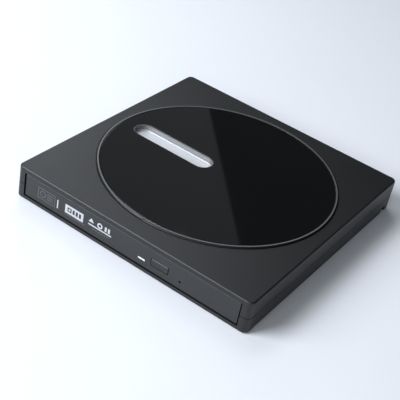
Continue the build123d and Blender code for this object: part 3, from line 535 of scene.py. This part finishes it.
CONTACT_METAL = plain_metal("contact_metal", (0.78, 0.66, 0.40), 0.25)


def add_block(bm, x0, x1, y0, y1, z0, z1):
    """Block between two corners, in millimetres."""
    centre = Vector((x0 + x1, y0 + y1, z0 + z1)) * (MM / 2)
    size = Matrix.Diagonal(((x1 - x0) * MM, (y1 - y0) * MM, (z1 - z0) * MM, 1.0))
    bmesh.ops.create_cube(bm, size=1.0, matrix=Matrix.Translation(centre) @ size)


def finish_piece(name, bm, material, body):
    """Cleans a mesh, gives it its finish and lets it ride on its body."""
    bmesh.ops.remove_doubles(bm, verts=bm.verts, dist=1e-7)
    bmesh.ops.recalc_face_normals(bm, faces=bm.faces)
    piece = new_object(name, bm)
    piece.data.materials.append(material)
    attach(piece, body)


def bezel_face():
    """Where the bezel's front lies along Y, in millimetres."""
    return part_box("bezel")[0][1] / MM


def print_bar(bm, x0, x1, z0, z1):
    """Printed bar on the bezel."""
    face = bezel_face()
    add_block(bm, x0, x1, face - INK_HEIGHT, face + INK_ROOT, z0, z1)


def print_round(bm, x, z, radius, line=0.0, corners=48, squeeze=1.0):
    """Printed disc, ring or triangle on the bezel; a ring has a line width."""
    face = bezel_face()
    place = Matrix.Translation(Vector((x, face + INK_ROOT, z)) * MM)
    upright = Matrix.Rotation(pi / 2, 4, "X")
    shape = Matrix.Diagonal((1.0, squeeze, 1.0, 1.0))
    made = bmesh.ops.create_circle(bm, cap_ends=True, segments=corners, radius=radius * MM,
                                   matrix=place @ upright @ shape)
    patch = [made["verts"][0].link_faces[0]]
    if line:
        rim = bmesh.ops.inset_individual(bm, faces=patch, thickness=line * MM, use_even_offset=True)
        bmesh.ops.delete(bm, geom=patch, context="FACES")
        patch = rim["faces"]
    raised = bmesh.ops.extrude_face_region(bm, geom=patch)["geom"]
    corners_raised = [v for v in raised if isinstance(v, bmesh.types.BMVert)]
    bmesh.ops.translate(bm, vec=(0.0, -(INK_HEIGHT + INK_ROOT) * MM, 0.0), verts=corners_raised)


def bezel_marks():
    """Three plain marks printed on the bezel: a dim outlined one, a solid one and a bold one."""
    dim = bmesh.new()
    for z in (6.1, 12.0):
        print_bar(dim, -56.2, -44.9, z, z + 0.45)
    for x in (-56.2, -45.35):
        print_bar(dim, x, x + 0.45, 6.55, 12.0)
    print_round(dim, -52.9, 9.3, 1.9, 0.55)
    for z in (7.6, 9.0, 10.4):
        print_bar(dim, -50.2, -46.4, z, z + 0.6)
    print_bar(dim, -38.2, -25.4, 5.9, 6.3)
    for index in range(6):
        print_bar(dim, -20.6 + 1.7 * index, -19.6 + 1.7 * index, 6.6, 7.4)
    finish_piece("dim_marks", dim, DIM_INK, "drawer")

    light = bmesh.new()
    print_bar(light, -43.6, -42.9, 6.4, 11.4)
    for z0, z1 in ((7.0, 8.2), (10.7, 11.9)):
        print_bar(light, -38.4, -26.9, z0, z1)
    for x0, x1 in ((-38.4, -36.9), (-34.3, -33.6), (-32.3, -31.6), (-30.3, -29.6), (-28.3, -26.9)):
        print_bar(light, x0, x1, 8.2, 10.7)
    print_round(light, -35.6, 9.45, 0.7)
    print_round(light, -21.9, 11.0, 1.9, corners=3, squeeze=0.8)
    print_round(light, -16.6, 10.9, 1.6, 0.8)
    for x in (-13.6, -11.6):
        print_bar(light, x, x + 1.2, 9.6, 12.2)
    print_bar(light, -23.6, -9.4, 8.3, 9.0)
    finish_piece("light_marks", light, LIGHT_INK, "drawer")


def button_ridges():
    """Two low ridges across the lower half of the eject button."""
    low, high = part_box("eject_button")
    middle = (low[0] + high[0]) / 2 / MM
    face = low[1] / MM
    ridges = bmesh.new()
    for z in RIDGE_HEIGHTS:
        add_block(ridges, middle - RIDGE_HALF, middle + RIDGE_HALF,
                  face - RIDGE_PROUD, face + RIDGE_ROOT, z, z + RIDGE_WIDTH)
    finish_piece("button_ridges", ridges, FINISHES["button_plastic"], "button")


def socket_contacts():
    """Five plated contacts on the tongue of the USB socket."""
    low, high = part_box("usb_socket")
    middle = (low[0] + high[0]) / 2 / MM
    rear = high[1] / MM
    floor = low[2] / MM
    contacts = bmesh.new()
    for index in (-2, -1, 0, 1, 2):
        x = middle + CONTACT_PITCH * index
        add_block(contacts, x - CONTACT_HALF_WIDTH, x + CONTACT_HALF_WIDTH,
                  rear - CONTACT_INNER, rear - CONTACT_OUTER,
                  floor + CONTACT_BOTTOM, floor + CONTACT_TOP)
    finish_piece("usb_contacts", contacts, CONTACT_METAL, "case")


def add_leg(bm, edge, reach, across, z0, z1, along_y=False):
    """One leg from the edge of a chip; it reaches out along X, or along Y."""
    out = (min(edge, edge + reach), max(edge, edge + reach))
    width = (across - LEG_HALF_WIDTH, across + LEG_HALF_WIDTH)
    x, y = (width, out) if along_y else (out, width)
    add_block(bm, *x, *y, z0, z1)


def chip_legs():
    """Gull-wing legs round the main chip and at both ends of the bridge chip."""
    legs = bmesh.new()
    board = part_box("main_chips")[0][2] / MM
    top = board + CHIP_LEG_HEIGHT
    bridge_top = board + BRIDGE_LEG_HEIGHT
    for side in (-1, 1):
        reach = side * CHIP_LEG_REACH
        for index in range(CHIP_LEGS):
            step = LEG_PITCH * (index - (CHIP_LEGS - 1) / 2)
            add_leg(legs, side * CHIP_HALF, reach, CHIP_Y + step, board, top)
            add_leg(legs, CHIP_Y + side * CHIP_HALF, reach, step, board, top, along_y=True)
        for index in range(BRIDGE_LEGS):
            y = BRIDGE_FIRST_LEG_Y + LEG_PITCH * index
            add_leg(legs, side * BRIDGE_HALF, side * BRIDGE_LEG_REACH, y, board, bridge_top)
    finish_piece("chip_legs", legs, CONTACT_METAL, "case")


def ribbon(name, path):
    """Flat ribbon whose middle follows points (y, z), in millimetres."""
    bm = bmesh.new()
    section = bmesh.ops.create_grid(bm, x_segments=1, y_segments=1, size=1.0)["verts"]
    end = bm.faces[:]
    placed = Matrix.Identity(4)
    for index, (y, z) in enumerate(path):
        if index:
            raised = bmesh.ops.extrude_face_region(bm, geom=end)["geom"]
            if index > 1:
                bmesh.ops.delete(bm, geom=end, context="FACES_ONLY")
            section = [v for v in raised if isinstance(v, bmesh.types.BMVert)]
            end = [face for face in raised if isinstance(face, bmesh.types.BMFace)]
        before = Vector(path[max(index - 1, 0)])
        after = Vector(path[min(index + 1, len(path) - 1)])
        along = (after - before).normalized()
        out = Vector((0.0, -along.y, along.x)) * (RIBBON_THICK / 2)
        ahead = Vector((0.0, along.x, along.y))
        axes = Matrix((Vector((RIBBON_HALF, 0.0, 0.0)), out, ahead)).transposed()
        place = Matrix.Translation(Vector((0.0, y, z)) * MM) @ (axes * MM).to_4x4()
        bmesh.ops.transform(bm, matrix=place @ placed.inverted(), verts=section)
        placed = place
    bmesh.ops.recalc_face_normals(bm, faces=bm.faces)
    piece = new_object(name, bm)
    piece.data.materials.append(FINISHES["flex_film"])
    return piece


def flex_ribbon():
    """Ribbon from the main board to the tray: one leg rides on the case and the other is not
    attached to any body.
    """
    middle = UPPER_LEG_Z - FOLD_RADIUS
    turns = [pi * step / 10 for step in range(11)]
    bend = [(FOLD_AT - FOLD_RADIUS * sin(t), middle - FOLD_RADIUS * cos(t)) for t in turns]
    start = [(28.0, 4.94), (26.54, 4.94), (26.54, 2.91), (0.0, 2.91)]
    lower = ribbon("flex_lower", start + bend)
    leg = [(FOLD_AT + UPPER_LEG_LENGTH * step / 60, UPPER_LEG_Z) for step in range(61)]
    upper = ribbon("flex_upper", leg)
    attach(lower, "case")
    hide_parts("flex_cable")
    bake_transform(upper)


place_camera()
light_studio()
lay_floor()
paint_nodes()
bezel_marks()
button_ridges()
socket_contacts()
chip_legs()
flex_ribbon()
